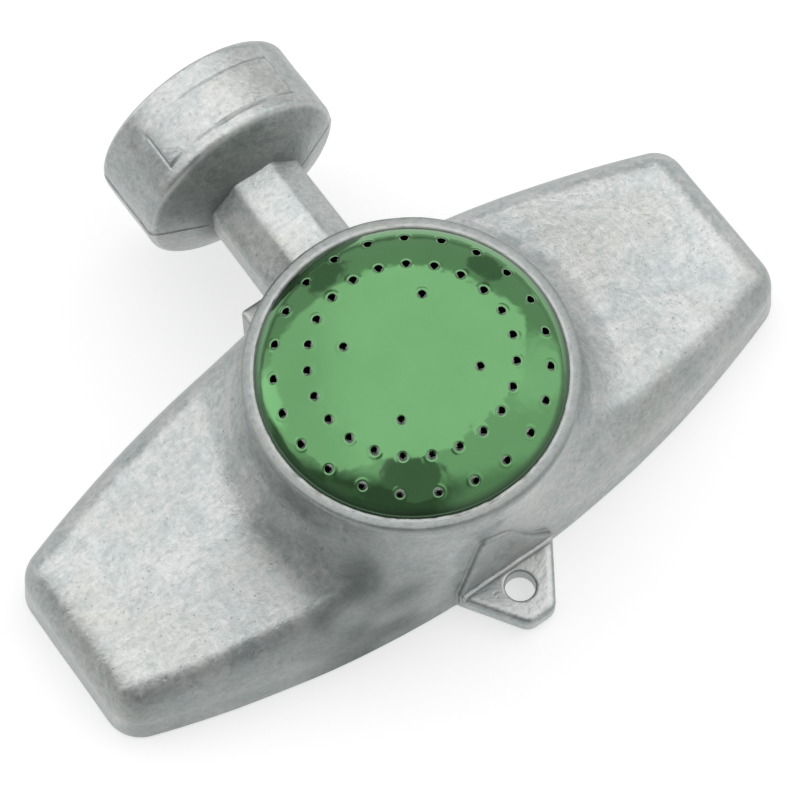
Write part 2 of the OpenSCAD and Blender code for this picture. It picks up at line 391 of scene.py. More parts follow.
def area_normals(V, F):
    """Vertex normals in which large faces count for more, so that flats stay flat."""
    V, F = np.asarray(V, float), np.asarray(F)
    n = np.zeros_like(V)
    d = np.cross(V[F[:, 2]] - V[F[:, 0]], V[F[:, 3 % F.shape[1]]] - V[F[:, 1]])
    for k in range(F.shape[1]):
        np.add.at(n, F[:, k], d)
    return n / np.maximum(np.linalg.norm(n, axis=1, keepdims=True), 1e-12)


def ring_faces(m, n, closed):
    """Quads over a grid of m rows of n points, joined round each row, and from last row to first if closed."""
    i, j = np.meshgrid(np.arange(m if closed else m - 1), np.arange(n), indexing="ij")
    i, j = i.ravel(), j.ravel()
    i2, j2 = (i + 1) % m, (j + 1) % n
    return np.stack([i * n + j, i2 * n + j, i2 * n + j2, i * n + j2], 1)


def dense(points, step):
    """The closed profile with points no further apart than step."""
    out = []
    for k, (a, b) in enumerate(points):
        c, d = points[(k + 1) % len(points)]
        n = max(1, int(math.ceil(math.hypot(c - a, d - b) / step)))
        out += [(a + (c - a) * i / n, b + (d - b) * i / n) for i in range(n)]
    return np.array(out)


def soften(points, radius, steps=4):
    """The closed profile with each corner rounded by radius (one number, or one for each point)."""
    out = []
    n = len(points)
    for k in range(n):
        r = radius[k] if hasattr(radius, "__len__") else radius
        p, a, b = (np.array(points[i % n], float) for i in (k, k - 1, k + 1))
        if r <= 0:
            out.append(tuple(p))
            continue
        u, w = a - p, b - p
        lu, lw = np.linalg.norm(u), np.linalg.norm(w)
        r = min(r, 0.45 * lu, 0.45 * lw)
        s, e = p + u / lu * r, p + w / lw * r
        for t in np.linspace(0, 1, steps + 1):
            out.append(tuple((1 - t) ** 2 * s + 2 * t * (1 - t) * p + t * t * e))
    return out


# =============================================================================================
# Materials
# =============================================================================================


class Tree:
    """Short ways to write a node tree."""

    def __init__(self, nt):
        self.nt = nt
        nt.nodes.clear()

    def node(self, kind, **sockets):
        n = self.nt.nodes.new(kind)
        for k, v in sockets.items():
            if hasattr(n, k) and k not in n.inputs:
                setattr(n, k, v)
        return n

    def put(self, socket, value):
        if isinstance(value, bpy.types.NodeSocket):
            self.nt.links.new(value, socket)
        elif value is not None:
            socket.default_value = value

    def maths(self, op, a, b=None, c=None, clamp=False):
        n = self.nt.nodes.new("ShaderNodeMath")
        n.operation = op
        n.use_clamp = clamp
        for s, v in zip(n.inputs, (a, b, c)):
            self.put(s, v)
        return n.outputs[0]

    def add(self, a, b): return self.maths("ADD", a, b)
    def sub(self, a, b): return self.maths("SUBTRACT", a, b)
    def mul(self, a, b): return self.maths("MULTIPLY", a, b)
    def lesser(self, a, b): return self.maths("MINIMUM", a, b)

    def step(self, v, lo, hi, a=0.0, b=1.0):
        """v from lo to hi becomes a to b, smoothly."""
        n = self.nt.nodes.new("ShaderNodeMapRange")
        n.interpolation_type = "SMOOTHSTEP"
        for s, x in zip(n.inputs[:5], (v, lo, hi, a, b)):
            self.put(s, x)
        return n.outputs[0]

    def ramp(self, v, lo, hi, a=0.0, b=1.0):
        n = self.nt.nodes.new("ShaderNodeMapRange")
        n.clamp = True
        for s, x in zip(n.inputs[:5], (v, lo, hi, a, b)):
            self.put(s, x)
        return n.outputs[0]

    def mix(self, f, a, b, kind="MIX"):
        n = self.nt.nodes.new("ShaderNodeMix")
        n.data_type = "RGBA"
        n.blend_type = kind
        self.put(n.inputs[0], f)
        self.put(n.inputs[6], a if isinstance(a, bpy.types.NodeSocket) else (*a, 1))
        self.put(n.inputs[7], b if isinstance(b, bpy.types.NodeSocket) else (*b, 1))
        return n.outputs[2]

    def noise(self, vec, scale, detail=3.0, rough=0.5, distort=0.0):
        n = self.nt.nodes.new("ShaderNodeTexNoise")
        self.put(n.inputs["Vector"], vec)
        n.inputs["Scale"].default_value = scale
        n.inputs["Detail"].default_value = detail
        n.inputs["Roughness"].default_value = rough
        n.inputs["Distortion"].default_value = distort
        return n.outputs[0]

    def cells(self, vec, scale, feature="F1"):
        n = self.nt.nodes.new("ShaderNodeTexVoronoi")
        n.feature = feature
        self.put(n.inputs["Vector"], vec)
        n.inputs["Scale"].default_value = scale
        return n.outputs["Distance"]

    def millimetres(self):
        t = self.nt.nodes.new("ShaderNodeTexCoord")
        n = self.nt.nodes.new("ShaderNodeVectorMath")
        n.operation = "SCALE"
        self.nt.links.new(t.outputs["Object"], n.inputs[0])
        n.inputs["Scale"].default_value = 1000.0
        return n.outputs[0]

    def turned(self, vec, rot, scale):
        n = self.nt.nodes.new("ShaderNodeMapping")
        self.put(n.inputs["Vector"], vec)
        n.inputs["Rotation"].default_value = rot
        n.inputs["Scale"].default_value = scale
        return n.outputs[0]

    def attribute(self, name):
        n = self.nt.nodes.new("ShaderNodeAttribute")
        n.attribute_name = name
        return n.outputs["Fac"]

    def bump(self, height, distance, strength=1.0, normal=None):
        n = self.nt.nodes.new("ShaderNodeBump")
        self.put(n.inputs["Height"], height)
        n.inputs["Distance"].default_value = distance
        n.inputs["Strength"].default_value = strength
        if normal is not None:
            self.put(n.inputs["Normal"], normal)
        return n.outputs[0]

    def surface(self, **values):
        p = self.nt.nodes.new("ShaderNodeBsdfPrincipled")
        for k, v in values.items():
            s = p.inputs[k.replace("_", " ")]
            if not isinstance(v, bpy.types.NodeSocket) and hasattr(v, "__len__") and len(v) == 3 and s.type == "RGBA":
                v = (*v, 1)
            self.put(s, v)
        out = self.nt.nodes.new("ShaderNodeOutputMaterial")
        self.nt.links.new(p.outputs[0], out.inputs[0])
        return p


def material(name):
    m = bpy.data.materials.new(name)
    m.use_nodes = True
    return m, Tree(m.node_tree)


def cast_zinc():
    m, t = material("cast_zinc")
    p = t.millimetres()
    broad = t.noise(p, 0.045, 3, 0.55, 0.6)
    cloud = t.noise(p, 0.13, 6, 0.66, 0.9)
    mottle = t.noise(t.turned(p, (0.2, 0.4, 0.6), (1, 1.3, 1)), 0.40, 6, 0.72, 0.6)
    fine = t.noise(p, 1.05, 4, 0.72)
    grain = t.noise(p, 2.6, 2, 0.7)
    brush = t.noise(t.turned(p, (0, 0, 0.94), (0.35, 2.1, 0.8)), 0.9, 4, 0.7, 0.4)
    flow = t.noise(t.turned(p, (0.1, 0, 0.62), (0.16, 1.5, 0.6)), 0.75, 4, 0.6, 1.2)
    pits = t.cells(p, 0.62)
    painted_shade, edge, side = t.attribute("painted_shade"), t.attribute("edge"), t.attribute("side")
    # greys of the cast skin: blue-grey, then warm and green patches
    c = t.mix(t.step(cloud, 0.38, 0.64), (0.515, 0.55, 0.558), (0.69, 0.70, 0.695))
    c = t.mix(t.mul(t.step(broad, 0.46, 0.70), 0.55), c, (0.60, 0.595, 0.55))
    c = t.mix(t.mul(t.step(mottle, 0.50, 0.32), 0.46), c, (0.37, 0.41, 0.42))
    c = t.mix(t.mul(t.step(mottle, 0.52, 0.70), 0.50), c, (0.82, 0.83, 0.825))
    c = t.mix(t.mul(t.step(flow, 0.54, 0.70), 0.30), c, (0.40, 0.43, 0.425))
    c = t.mix(t.mul(t.step(brush, 0.50, 0.36), 0.30), c, (0.40, 0.43, 0.43))
    c = t.mix(t.mul(t.step(fine, 0.50, 0.36), 0.32), c, (0.32, 0.35, 0.35))
    c = t.mix(t.mul(t.step(fine, 0.53, 0.66), 0.26), c, (0.88, 0.89, 0.88))
    c = t.mix(t.mul(t.step(pits, 0.17, 0.04), 0.45), c, (0.27, 0.29, 0.28))
    # painted shade on steep walls
    c = t.mix(t.mul(side, 0.62), c, t.mix(1.0, c, (0.36, 0.385, 0.375), "MULTIPLY"))
    # painted shade in hollows, creases and on the front-left, darker still where it is strongest
    c = t.mix(t.mul(painted_shade, 0.55), c, (0.20, 0.225, 0.215))
    c = t.mix(t.mul(t.step(painted_shade, 0.9, 1.7), t.ramp(fine, 0.35, 0.6, 0.70, 0.35)), c, (0.12, 0.14, 0.135))
    # lighter edges: partly wear, partly painted highlight
    c = t.mix(t.mul(t.step(edge, 0.25, 0.8), 0.32), c, (0.80, 0.80, 0.78))
    rough = t.add(t.ramp(mottle, 0.3, 0.7, 0.30, 0.43), t.ramp(cloud, 0.35, 0.65, -0.06, 0.06))
    rough = t.add(rough, t.mul(painted_shade, 0.12))
    h = t.add(t.mul(mottle, 0.5), t.mul(fine, 0.45))
    h = t.add(h, t.mul(grain, 0.12))
    h = t.add(h, t.mul(t.step(pits, 0.18, 0.02), -0.35))
    n = t.bump(h, 0.00018, 0.65)
    n = t.bump(cloud, 0.0006, 0.40, n)
    t.surface(Base_Color=c, Metallic=0.90, Roughness=rough, Normal=n)
    return m


def green_dome():
    m, t = material("green_aluminium")
    p = t.millimetres()
    cloud = t.noise(p, 0.10, 3, 0.5)
    fine = t.noise(p, 0.8, 3, 0.6)
    specks = t.cells(p, 1.1)
    edge, rim = t.attribute("edge"), t.attribute("rim")
    c = t.mix(t.step(cloud, 0.3, 0.7), (0.095, 0.280, 0.096), (0.105, 0.296, 0.105))
    c = t.mix(t.mul(t.step(specks, 0.10, 0.03), 0.25), c, (0.16, 0.36, 0.16))
    # painted shade and painted dark reflection on the outer zone of the sheet, near black
    c = t.mix(rim, c, (0.016, 0.045, 0.020))
    c = t.mix(t.mul(edge, 0.50), c, (0.28, 0.36, 0.28))
    rough = t.add(t.ramp(fine, 0.35, 0.65, 0.055, 0.085), t.mul(edge, 0.30))
    rough = t.add(rough, t.mul(rim, 0.10))
    n = t.bump(cloud, 0.0007, 0.35)
    n = t.bump(fine, 0.00002, 0.4, n)
    t.surface(Base_Color=c, Metallic=1.0, Roughness=rough, Normal=n, Coat_Weight=0.9, Coat_Roughness=0.04, Coat_IOR=1.5)
    return m


def bare_aluminium():
    m, t = material("punched_aluminium")
    p = t.millimetres()
    streak = t.noise(t.turned(p, (0, 0, 0), (3, 3, 0.4)), 1.5, 3, 0.6)
    c = t.mix(streak, (0.34, 0.40, 0.35), (0.58, 0.63, 0.58))
    t.surface(Base_Color=c, Metallic=1.0, Roughness=t.ramp(streak, 0.3, 0.7, 0.35, 0.55), Normal=t.bump(streak, 0.00003, 0.6))
    return m


def rubber():
    m, t = material("black_rubber")
    p = t.millimetres()
    a = t.noise(p, 0.5, 4, 0.6)
    b = t.noise(p, 3.0, 3, 0.6)
    c = t.mix(a, (0.028, 0.028, 0.028), (0.065, 0.063, 0.060))
    n = t.bump(t.add(a, t.mul(b, 0.4)), 0.00006, 0.8)
    t.surface(Base_Color=c, Roughness=t.ramp(b, 0.3, 0.7, 0.62, 0.8), Normal=n, Specular_IOR_Level=0.35)
    return m


ZINC, GREEN, BARE, RUBBER = cast_zinc(), green_dome(), bare_aluminium(), rubber()

# =============================================================================================
# Body of the casting
# =============================================================================================

STEP = 0.62
V, Q = nets(field, (-67.3, -37.6, -0.9), (67.3, 46.0, 34.0), STEP)
N = normals_of(field, V, 0.12)
faces = Q.tolist()


def shown(x, y, z):
    """Not in the chamber, the waterway or the hollows underneath."""
    inside = ((np.hypot(x, y) < 23.6) & (z < 31)) | ((np.hypot(x, z - INLET_Z) < 6.2) & (y > 14)) | (skin(x, y, z, 0, 0) > 1.3) & (z < 20)
    return ~inside | ((y > 23) & (z > 14)) & ~((np.hypot(x, z - INLET_Z) < 6.2) & (y > 14)) | ((np.abs(x) < 10) & (y < -25.0))


def detailed(x, y, z):
    return shown(x, y, z) & (((y < -22) & (np.abs(x) < 13)) | ((y > 17) & (np.abs(x) < 13.5)))


V, faces, N = refine(field, V, faces, N, 11, STEP / 2, shown)
V, faces, N = refine(field, V, faces, N, 9, STEP / 4, detailed)


def shading(V, N, fn):
    """Painted shade from how hollow the surface is at each vertex, and how sharp it is, for lighter edges (partly wear,
    partly painted highlight), from 0 to 1.
    """
    at = lambda d: fn(V[:, 0] + N[:, 0] * d, V[:, 1] + N[:, 1] * d, V[:, 2] + N[:, 2] * d)
    near, far = np.clip((at(1.2) + 1.2) / 1.6, 0, 1), np.clip((at(4.5) + 4.5) / 6.0, 0, 1)
    sharp = np.clip((0.75 - at(-0.9)) / 0.6, 0, 1)
    return np.clip(0.55 * near + 0.6 * far, 0, 1), sharp


V, N = settle(field, V, faces, N)
painted_shade, edge = shading(V, N, casting)
inside, up, out = flat_field(V[:, 0], V[:, 1], V[:, 2])
# on the tab less painted shade, and a painted highlight on its flat top
painted_shade = np.where(V[:, 1] < -27.3, 0.3 * painted_shade, painted_shade)
edge = np.where((V[:, 1] < -27.4) & (N[:, 2] > 0.8), np.maximum(edge, 0.75), edge)
# painted shade: the leaning flat over the tab darker, with a darker line round its outline
flat_facet_shade = smooth(-0.1, 0.3, inside) * smooth(0.5, 0.2, np.abs(out)) * smooth(-0.5, -0.8, N[:, 1]) * (up > 0.9)
rim_of_flat = np.exp(-((inside + 0.05) / 0.30) ** 2) * smooth(1.6, 0.6, np.abs(out)) * (up > 0.6) * (V[:, 1] < -23)
painted_shade = np.maximum(painted_shade, np.clip(0.62 * flat_facet_shade + 0.85 * rim_of_flat, 0, 1.2))
# painted shade on the front-left: at the foot of the collar, in front, and low on the front wall of the -x wing;
# lighter edges are taken out there
turn_ = np.degrees(np.arctan2(V[:, 1], V[:, 0]))
rr_ = np.hypot(V[:, 0], V[:, 1])
collar_foot_shade = np.exp(-((turn_ + 148) / 30) ** 2) * np.exp(-((rr_ - 29.5) / np.where(rr_ > 29.5, 12.0, 7.5)) ** 2) * (0.75 + 0.5 * lumps(V[:, 0], V[:, 1], V[:, 2], 4.5, 21))
front_wall_shade = smooth(2, -26, V[:, 0]) * smooth(-0.35, -0.85, N[:, 1]) * (0.75 + 0.5 * lumps(V[:, 0], V[:, 1], V[:, 2], 6.0, 22))
edge = edge * (1 - np.clip(collar_foot_shade, 0, 1))
painted_shade = np.clip(painted_shade + (1.15 * collar_foot_shade + 0.75 * front_wall_shade) * (V[:, 1] > -27.3) * (1 - flat_facet_shade), 0, 1.7)
centre = np.array([V[f].mean(0) for f in faces])
outer_side = shown(centre[:, 0], centre[:, 1], centre[:, 2])


def portion(name, mask):
    """The part of the casting's skin that the mask picks, with the same points and normals along the border."""
    some = [faces[i] for i in np.where(mask)[0]]
    used = np.unique(np.concatenate([np.array(f) for f in some]))
    back = np.full(len(V), -1)
    back[used] = np.arange(len(used))
    return make(name, V[used], [[int(back[v]) for v in f] for f in some], [ZINC], N[used], {"painted_shade": painted_shade[used], "edge": edge[used]})


body = portion("casting_body", outer_side)
hollows = portion("casting_hollows", ~outer_side)
print("casting", len(V), len(faces), len(body.data.polygons), len(hollows.data.polygons))

# The ledge along the foot of the flat, over the tab: the same casting, drawn as a bar of its own so that it stays sharp
sec = dense(soften([(-27.12, 3.4), (-27.12, 5.28), (-26.60, 5.42), (-26.05, 5.30), (-25.6, 3.4)], [0.05, 0.22, 0.12, 0.15, 0.05], 3), 0.16)
KX = np.concatenate([[-9.05, -8.95], np.linspace(-8.8, 8.5, 150), [8.62, 8.7]])
shrink = np.concatenate([[0.55, 0.88], np.ones(150), [0.88, 0.55]])
mid = sec.mean(0)
KY = mid[0] + (sec[None, :, 0] - mid[0]) * shrink[:, None]
KZ = mid[1] + (sec[None, :, 1] - mid[1]) * shrink[:, None]
KXm = np.repeat(KX[:, None], len(sec), 1)
up_ = smooth(4.3, 5.2, KZ)
KZ = KZ + 0.07 * up_ * lumps(KXm, KY, KZ, 2.2, 23) + 0.05 * up_ * lumps(KXm, KY, KZ, 0.9, 24)
KY = KY + 0.05 * lumps(KXm, KY, KZ, 1.7, 25) * smooth(-26.4, -27.0, KY)
KV = np.stack([KXm, KY, KZ], 2).reshape(-1, 3)
KF = ring_faces(len(KX), len(sec), False)
cK = KV[KF].mean(1) - np.stack([KV[KF].mean(1)[:, 0], np.full(len(KF), mid[0]), np.full(len(KF), mid[1])], 1)
nK = np.cross(KV[KF[:, 2]] - KV[KF[:, 0]], KV[KF[:, 3]] - KV[KF[:, 1]])
flip = (nK * cK).sum() < 0
if flip:
    KF = KF[:, ::-1]
n_sec = len(sec)
ends = [list(range(n_sec)), list(range((len(KX) - 1) * n_sec, len(KX) * n_sec))[::-1]]
first_quad = KF.tolist()[0]
ends = [e if (np.cross(KV[e[1]] - KV[e[0]], KV[e[n_sec // 2]] - KV[e[0]])[0] < 0) == (k == 0) else e[::-1] for k, e in enumerate(ends)]
# painted shade on the ledge: a little all over, more in the groove behind it and low down; its top front edge lighter,
# partly wear and partly painted highlight
ledge_cav = 0.30 + 0.5 * np.exp(-((KV[:, 1] + 26.15) / 0.22) ** 2) + 0.35 * smooth(5.0, 4.4, KV[:, 2])
ledge_edge = 0.75 * np.exp(-((KV[:, 1] + 26.95) / 0.2) ** 2) * smooth(4.9, 5.2, KV[:, 2])
ledge = make("casting_ledge", KV, KF.tolist() + ends, [ZINC], area_normals(KV, KF), {"painted_shade": np.clip(ledge_cav, 0, 1), "edge": ledge_edge})

# =============================================================================================
# Bell: die halves that meet in a fine flash, a plain insert outline on top, a helical thread
# =============================================================================================

BELL_R, BELL_END, BELL_BACK = 17.8, 61.1, 46.9
MINOR, MAJOR, PITCH, SEAT_Y = 12.45, 13.6, 2.209, 47.7


def spread(a, b, step):
    return np.linspace(a, b, max(2, int(round((b - a) / step)) + 1))[:-1]


alpha = np.concatenate([
    spread(-180, -93, 1.8), spread(-93, -87, 0.3), spread(-87, -42, 1.5), spread(-42, -37, 0.35), spread(-37, 40, 1.1),
    spread(40, 46, 0.35), spread(46, 87, 1.5), spread(87, 93, 0.3), spread(93, 180, 1.8),
])
alpha = np.radians(alpha)
outer = soften(
    [(44.2, 5.6), (43.3, 6.6), (43.05, 8.3), (43.35, 9.5), (46.45, 16.6), (BELL_BACK + 0.4, BELL_R), (BELL_END, BELL_R), (BELL_END, MINOR + 1.4),
     (BELL_END - 0.9, MINOR), (SEAT_Y + 3.2, MINOR), (SEAT_Y + 3.2, 12.9), (SEAT_Y, 12.9), (SEAT_Y, 5.6)],
    [0, 0, 0.1, 0.9, 0.9, 1.1, 0.8, 0.5, 0.1, 0.1, 0.1, 0.15, 0.3], 5)
prof = dense(outer, 0.30)
py, pr = prof[:, 0], prof[:, 1]
Ymat = np.repeat(py[:, None], len(alpha), 1)
Rmat = np.repeat(pr[:, None], len(alpha), 1)
A = np.repeat(alpha[None, :], len(py), 0)
Adeg = np.degrees(A)
outside = (Rmat > 8.9) & ((Ymat < BELL_BACK + 0.8) | (Rmat > BELL_R - 1.0)) & (Ymat < BELL_END - 0.05) & ~((Ymat > SEAT_Y - 0.1) & (Rmat < 16))
shell = outside.astype(float)
mouth = smooth(BELL_END, BELL_END - 1.2, Ymat)
# flash where the die halves meet, and a lower half that stands a little proud
arc = np.minimum(np.abs(np.abs(Adeg) - 90), 90) * np.pi / 180 * Rmat
noise_line = 0.6 + 0.4 * lumps(Ymat, A * 6, 0 * A, 1.7, 5)
d = 0.17 * np.exp(-(arc / 0.17) ** 2) * noise_line
d -= 0.14 * np.exp(-((arc - 0.42) / 0.16) ** 2) * (np.abs(Adeg) < 90)
d += 0.09 * smooth(89.5, 90.5, np.abs(Adeg))
d += 0.11 * lumps(Ymat, Rmat * np.sin(A), Rmat * np.cos(A), 9, 6) + 0.035 * lumps(Ymat, Rmat * np.sin(A), Rmat * np.cos(A), 3, 7)
# outline of a plain die insert
on_top = (Rmat > BELL_R - 0.4) & (Ymat > BELL_BACK + 0.6) & (np.abs(Adeg) < 60)
ya, yb, aa, ab = 49.45, 57.15, -39.5, 43.0
ry = np.minimum(np.abs(Ymat - ya), np.abs(Ymat - yb) * 1.15)
ra = np.minimum(np.abs(Adeg - aa), np.abs(Adeg - ab)) * np.pi / 180 * BELL_R
in_a = (Adeg > aa - 0.5) & (Adeg < ab + 0.5)
in_y = (Ymat > ya - 0.1) & (Ymat < yb + 0.1)
broken = np.clip(0.70 + 1.1 * lumps(Ymat * 1.4, A * 18, 0 * A, 2.4, 8), 0.0, 1.3)
line = np.maximum(np.exp(-(ry / 0.16) ** 2) * in_a, np.exp(-(ra / 0.16) ** 2) * in_y * 0.85) * broken * on_top
d -= 0.30 * line
d += 0.05 * (in_a & in_y & on_top)
Rmat = Rmat + d * shell * mouth
# helical thread
in_thread = (py > SEAT_Y + 3.3) & (py < BELL_END - 0.8) & (pr < MINOR + 0.8) & (pr > MINOR - 0.3)
turn = ((Ymat - SEAT_Y) / PITCH + A / (2 * math.pi)) % 1.0
tooth = np.clip(0.62 - np.abs(turn - 0.5) * 2.0, 0, 0.5) / 0.5
fade = smooth(SEAT_Y + 3.3, SEAT_Y + 4.2, Ymat) * smooth(BELL_END - 0.8, BELL_END - 1.6, Ymat)
Rmat = Rmat + (MAJOR - MINOR) * tooth * fade * in_thread[:, None]
P = np.stack([Rmat * np.sin(A), Ymat, INLET_Z + Rmat * np.cos(A)], 2)
BV = P.reshape(-1, 3)
BF = ring_faces(len(py), len(alpha), True)
c = BV[BF].mean(1)
nrm = np.cross(BV[BF[:, 2]] - BV[BF[:, 0]], BV[BF[:, 3]] - BV[BF[:, 1]])
test = (np.abs(c[:, 1] - 54) < 3) & (np.hypot(c[:, 0], c[:, 2] - INLET_Z) > 17)
if (nrm[test] * (c[test] - np.array([0, 54, INLET_Z]))).sum() < 0:
    BF = BF[:, ::-1]
# painted shade: over the back cone, more near the neck, inside the mouth, in the insert outline and beside the flash;
# the mouth edge, back edge and flash lighter, partly wear and partly painted highlight
bell_shade = np.clip(
    0.75 * smooth(12.5, 8.6, Rmat) * (Ymat < 46) + 0.9 * (Rmat < 16) * smooth(61.2, 57, Ymat) * (Ymat > 47) + 1.5 * line + 0.22 * (Ymat < 46.7) * (Rmat > 8)
    + 0.55 * np.exp(-((arc - 0.40) / 0.2) ** 2) * shell * (np.abs(Adeg) < 90), 0, 1)
bell_edge = np.clip(0.7 * np.exp(-((Ymat - BELL_END + 0.3) / 0.5) ** 2) * (Rmat > 16.5) + 0.6 * np.exp(-((Ymat - 47.0) / 0.5) ** 2) * (Rmat > 16.8)
                    + 0.5 * np.exp(-(arc / 0.2) ** 2) * shell, 0, 1)
bell = make("casting_bell", BV, BF, [ZINC], area_normals(BV, BF), {"painted_shade": bell_shade.ravel(), "edge": bell_edge.ravel()})

# =============================================================================================
# Lip: the top of the collar, rolled in over the edge of the dome
# =============================================================================================

lip_loop = soften(
    [(22.9, 30.2), (25.1, 30.2), (25.40, 31.0), (25.40, 32.2), (26.1, 32.6), (26.45, 33.2), (26.45, 34.65), (26.05, 35.18), (25.3, 35.26), (24.95, 35.30),
     (24.36, 35.20), (24.34, 34.6), (24.66, 33.7), (25.35, 33.7), (25.35, 31.7), (22.9, 31.7)],
    [0.1, 0.1, 0.2, 0.3, 0.35, 0.4, 0.5, 0.35, 0.2, 0.2, 0.12, 0.1, 0.05, 0.05, 0.1, 0.2], 5)
lp = dense(lip_loop, 0.22)
th = np.radians(np.arange(0, 360, 0.75))
LR = np.repeat(lp[:, 0][:, None], len(th), 1)
LZ = np.repeat(lp[:, 1][:, None], len(th), 1)
T = np.repeat(th[None, :], len(lp), 0)
cx_, sy_ = np.cos(T), np.sin(T)
inner = smooth(25.1, 24.7, LR) * smooth(34.3, 34.7, LZ)
jag = 0.10 * lumps(cx_ * 26, sy_ * 26, 0 * T, 1.3, 9) + 0.06 * lumps(cx_ * 26, sy_ * 26, 0 * T, 0.55, 10)
LR = LR + inner * jag
top_side = smooth(33.0, 34.0, LZ)
LZ = LZ + top_side * (0.06 * lumps(cx_ * 26, sy_ * 26, LR, 4.5, 11) + 0.022 * lumps(cx_ * 26, sy_ * 26, LR, 1.1, 12)) + inner * 0.12 * lumps(cx_ * 26, sy_ * 26, 0 * T, 0.9, 13)
LR = LR + smooth(25.9, 26.3, LR) * (0.05 * lumps(cx_ * 26, sy_ * 26, LZ, 6, 14) + 0.02 * lumps(cx_ * 26, sy_ * 26, LZ, 1.2, 15))
LV = np.stack([LR * cx_, LR * sy_, LZ], 2).reshape(-1, 3)
LF = ring_faces(len(lp), len(th), True)
c = LV[LF].mean(1)
nrm = np.cross(LV[LF[:, 2]] - LV[LF[:, 0]], LV[LF[:, 3]] - LV[LF[:, 1]])
test = c[:, 2] > 35.1
if nrm[test][:, 2].sum() < 0:
    LF = LF[:, ::-1]
# painted shade in the groove under the lip and in the crevice where the dome goes in; with it a darker grey tone over
# the whole lip above the groove and a darker band round its top. Painted highlight on the inner and outer top edges
lip_shade = np.clip(1.0 * np.exp(-((LZ - 32.0) / 0.6) ** 2) * (LR > 25.2) + 0.8 * smooth(24.8, 24.6, LR) * smooth(35.1, 34.9, LZ) + 0.85 * (LZ > 32.4) + 0.12 * lumps(LR * np.cos(T), LR * np.sin(T), LZ, 1.3, 26) + 0.30 * smooth(25.3, 25.6, LR) * smooth(26.3, 26.0, LR) * (LZ > 34.5), 0, 1)
lip_edge = np.clip(0.9 * np.exp(-((LR - 24.75) / 0.30) ** 2) * (LZ > 34.9) + 0.4 * np.exp(-((LR - 26.2) / 0.25) ** 2) * (LZ > 34), 0, 1)
lip = make("casting_lip", LV, LF, [ZINC], area_normals(LV, LF), {"painted_shade": lip_shade.ravel(), "edge": lip_edge.ravel()})

# =============================================================================================
# Dome: a pressed sheet with punched holes
# =============================================================================================

DOME_R, RISE, SHEET, HOLE = 24.6, 7.2, 0.8, 0.70
rr = DOME_R * np.sin(np.linspace(0, math.pi / 2, 4001))
zz = RIM_Z + RISE * np.sqrt(np.clip(1 - (rr / DOME_R) ** 2.2, 0, 1))
BEND = 23.6  # from here out the sheet runs straight into the lip
k = int(np.searchsorted(rr, BEND))
zz[k:] = np.maximum(zz[k] - 1.04 * (rr[k:] - rr[k]) - 0.25 * np.maximum(rr[k:] - 24.45, 0) * 8, zz[k:])
rr, zz = np.append(rr, [DOME_R, DOME_R]), np.append(zz, [RIM_Z, RIM_Z - 0.4])
ss = np.concatenate([[0], np.cumsum(np.hypot(np.diff(rr), np.diff(zz)))])
dr, dz = np.gradient(rr, ss), np.gradient(zz, ss)
ln = np.hypot(dr, dz)
dr, dz = dr / ln, dz / ln
s_at = lambda r: float(np.interp(r, rr[:4001], ss[:4001]))
S_END = float(ss[-1])
PHASE = 135.7
holes = []
for i in range(23):
    holes.append((21.4, PHASE + 360 * i / 23))
    holes.append((16.1, PHASE + 360 * (i + 1) / 23))
for i in range(4):
    holes.append((10.6, PHASE + 90 * i))
holes = [(r, s_at(r), math.radians(a % 360)) for r, a in holes]
ROUND, RINGS = 28, [HOLE, 0.735, 0.79, 0.86, 0.95, 1.06, 1.22, 1.45, 1.75]
pts, rho, which = [], [], []
for k, (r, s, a) in enumerate(holes):
    tang = s / r
    for ri in RINGS:
        for j in range(ROUND):
            b = 2 * math.pi * (j + 0.5 * (RINGS.index(ri) % 2)) / ROUND
            u, v = ri * math.cos(b), ri * math.sin(b) * tang
            pts.append(((s + u) * math.cos(a) - v * math.sin(a), (s + u) * math.sin(a) + v * math.cos(a)))
            rho.append(ri)
            which.append(k)
centres = np.array([(s * math.cos(a), s * math.sin(a)) for r, s, a in holes])
for i, s in enumerate(np.concatenate([np.arange(0, S_END - 0.9, 0.68), np.linspace(S_END - 0.8, S_END, 6)])):
    n = max(1, int(2 * math.pi * s / 0.72)) if s < S_END - 0.9 else 216
    for j in range(n):
        b = 2 * math.pi * (j + 0.5 * (i % 2)) / n
        p = (s * math.cos(b), s * math.sin(b))
        if np.min(np.hypot(centres[:, 0] - p[0], centres[:, 1] - p[1])) > 2.05:
            pts.append(p)
            rho.append(9.0)
            which.append(-1)
out_v, _, out_f, orig_v, _, _ = delaunay_2d_cdt([Vector(p) for p in pts], [], [], 0, 1e-5)
order = [o[0] for o in orig_v]
P2 = np.array([tuple(v) for v in out_v])
rho, which = np.array(rho)[order], np.array(which)[order]
tri = np.array([f for f in out_f if len(f) == 3])
hole_v = rho <= HOLE + 1e-6
tri = tri[~(hole_v[tri].all(1) & (which[tri][:, 0] == which[tri][:, 1]) & (which[tri][:, 1] == which[tri][:, 2]))]
a2 = P2[tri[:, 1]] - P2[tri[:, 0]]
b2 = P2[tri[:, 2]] - P2[tri[:, 0]]
flip = a2[:, 0] * b2[:, 1] - a2[:, 1] * b2[:, 0] < 0
tri[flip] = tri[flip][:, ::-1]
sv, phi = np.hypot(P2[:, 0], P2[:, 1]), np.arctan2(P2[:, 1], P2[:, 0])
base_r, base_z = np.interp(sv, ss, rr), np.interp(sv, ss, zz)
tr, tz = np.interp(sv, ss, dr), np.interp(sv, ss, dz)
L = np.hypot(tr, tz)
tr, tz = tr / L, tz / L
N0 = np.stack([-tz * np.cos(phi), -tz * np.sin(phi), tr], 1)
P0 = np.stack([base_r * np.cos(phi), base_r * np.sin(phi), base_z], 1)
